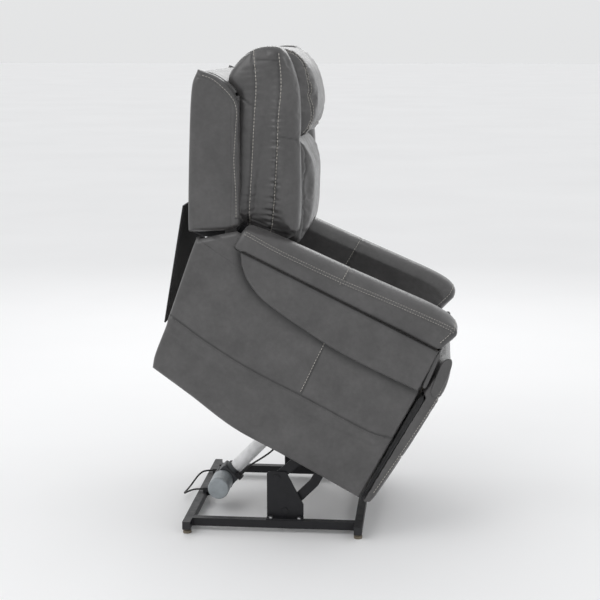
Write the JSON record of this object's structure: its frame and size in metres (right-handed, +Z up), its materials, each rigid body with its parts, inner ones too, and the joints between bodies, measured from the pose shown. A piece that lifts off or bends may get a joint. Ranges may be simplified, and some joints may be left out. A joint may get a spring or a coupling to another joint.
{
  "type": "lift recliner chair",
  "caption": "Powered lift recliner armchair shown raised, on a steel base with lift links and a linear actuator, with reclining back and folding footrest.",
  "frame": {"origin": "middle of the chair's box at floor level, in the lifted position", "axes": "+X towards the front of the chair, +Y to its left side, +Z up"},
  "size_m": [0.9148, 0.76, 1.4855],
  "materials": {
    "black_steel": "satin black powder coat",
    "zinc_steel": "zinc plated",
    "white_tube": "satin white",
    "motor_grey": "satin grey",
    "gearbox_grey": "moulded",
    "black_plastic": "moulded",
    "glide_plastic": "moulded beige",
    "lead_black": "smooth",
    "grey_leather": "padded grey leather over foam",
    "frame_wood": "plain plywood",
    "black_cloth": "stiff black dust cloth"
  },
  "bodies": {
    "base": {"base_front_crossbar": "black_steel", "base_rear_crossbar": "black_steel", "base_side_rail_left": "black_steel", "base_side_rail_right": "black_steel", "tube_end_caps": "black_plastic", "floor_glides": "glide_plastic", "pivot_plate_left": "black_steel", "pivot_plate_right": "black_steel", "plate_bolts": "zinc_steel", "base_pivot_pins": "black_steel", "actuator_clevis": "black_steel", "base_lead": "lead_black", "base_lead_clips": "black_plastic"},
    "upper_link": {"upper_lift_link_left": "black_steel", "upper_lift_link_right": "black_steel", "link_torque_tube": "black_steel"},
    "lower_link": {"lower_lift_links": "black_steel"},
    "actuator": {"lift_gearbox": "gearbox_grey", "lift_motor": "motor_grey", "lift_guide_tube": "white_tube", "lead_socket": "black_plastic", "actuator_lead": "lead_black", "lead_connector": "black_plastic"},
    "rod": {"lift_rod": "zinc_steel", "lift_rod_pin": "zinc_steel"},
    "chair": {"lift_brackets": "black_steel", "mechanism_rails": "black_steel", "chair_pivot_pins": "black_steel", "front_cross_tube": "black_steel", "lift_cross_tube": "black_steel", "rear_cross_tube": "black_steel", "side_panel_left": "grey_leather", "side_panel_right": "grey_leather", "arm_pad_left": "grey_leather", "arm_pad_right": "grey_leather", "arm_frames": "frame_wood", "seat_frame": "black_steel", "seat_springs": "zinc_steel", "seat_cushion": "grey_leather", "control_box": "black_plastic"},
    "recline_actuator": {"recline_gearbox": "gearbox_grey", "recline_motor": "motor_grey", "recline_guide_tube": "white_tube"},
    "recline_rod": {"recline_rod": "zinc_steel"},
    "backrest": {"back_frame": "frame_wood", "back_brackets": "black_steel", "back_push_tube": "black_steel", "outside_back": "grey_leather", "back_wing_left": "grey_leather", "back_wing_right": "grey_leather", "back_bolster_left": "grey_leather", "back_bolster_right": "grey_leather", "head_pillow": "grey_leather", "lumbar_cushion": "grey_leather", "dust_panel": "black_cloth"},
    "foot_link": {"lower_footrest_links": "black_steel"},
    "foot_upper_link": {"upper_footrest_links": "black_steel"},
    "footrest": {"footrest_board": "frame_wood", "footrest_brackets": "black_steel", "footrest_pad": "grey_leather"}
  },
  "joints": [
    {"name": "lift", "type": "hinge", "parent": "base", "child": "upper_link", "pos_m": [-0.09214, 0, 0.168], "axis": [0, 1, 0], "range_deg": [0, 39.8]},
    {"name": "chair_on_links", "type": "hinge", "parent": "upper_link", "child": "chair", "pos_m": [0.09726, 0, 0.33098], "axis": [0, -1, 0], "range_deg": [0, 69.81]},
    {"name": "lower_link_turn", "type": "hinge", "parent": "base", "child": "lower_link", "pos_m": [-0.06614, 0, 0.062], "axis": [0, 1, 0], "range_deg": [0, 43.21]},
    {"name": "actuator_tilt", "type": "hinge", "parent": "base", "child": "actuator", "pos_m": [-0.32614, 0, 0.046], "axis": [0, 1, 0], "range_deg": [0, 22.74]},
    {"name": "rod_slide", "type": "slide", "parent": "actuator", "child": "rod", "axis": [0.6948, 0, 0.7192], "range_m": [-0.09492, 0]},
    {"name": "recline", "type": "hinge", "parent": "chair", "child": "backrest", "pos_m": [-0.22039, 0, 0.74879], "axis": [0, -1, 0], "range_deg": [0, 32]},
    {"name": "recline_actuator_tilt", "type": "hinge", "parent": "chair", "child": "recline_actuator", "pos_m": [0.16646, 0.095, 0.43884], "axis": [0, 1, 0], "range_deg": [0, 4.81]},
    {"name": "recline_rod_slide", "type": "slide", "parent": "recline_actuator", "child": "recline_rod", "axis": [-0.8924, 0, 0.4512], "range_m": [-0.04755, 0]},
    {"name": "footrest", "type": "hinge", "parent": "chair", "child": "foot_link", "pos_m": [0.11566, 0, 0.45085], "axis": [0, -1, 0], "range_deg": [0, 51.71]},
    {"name": "footrest_knee", "type": "hinge", "parent": "foot_link", "child": "foot_upper_link", "pos_m": [0.15967, 0, 0.18953], "axis": [0, 1, 0], "range_deg": [0, 99.3]},
    {"name": "footrest_board_turn", "type": "hinge", "parent": "foot_upper_link", "child": "footrest", "pos_m": [0.30847, 0, 0.40881], "axis": [0, -1, 0], "range_deg": [0, 132.58]}
  ],
  "couplings": [
    {"joint": "chair_on_links", "follows": "lift", "ratio": 1.7538},
    {"joint": "lower_link_turn", "follows": "lift", "ratio": 1.0856},
    {"joint": "actuator_tilt", "follows": "lift", "ratio": 0.57121},
    {"joint": "rod_slide", "follows": "lift", "m_per_rad": -0.13651},
    {"joint": "recline_actuator_tilt", "follows": "recline", "ratio": 0.14996},
    {"joint": "recline_rod_slide", "follows": "recline", "m_per_rad": -0.084953},
    {"joint": "footrest_knee", "follows": "footrest", "ratio": 1.92},
    {"joint": "footrest_board_turn", "follows": "footrest", "ratio": 2.5637}
  ]
}
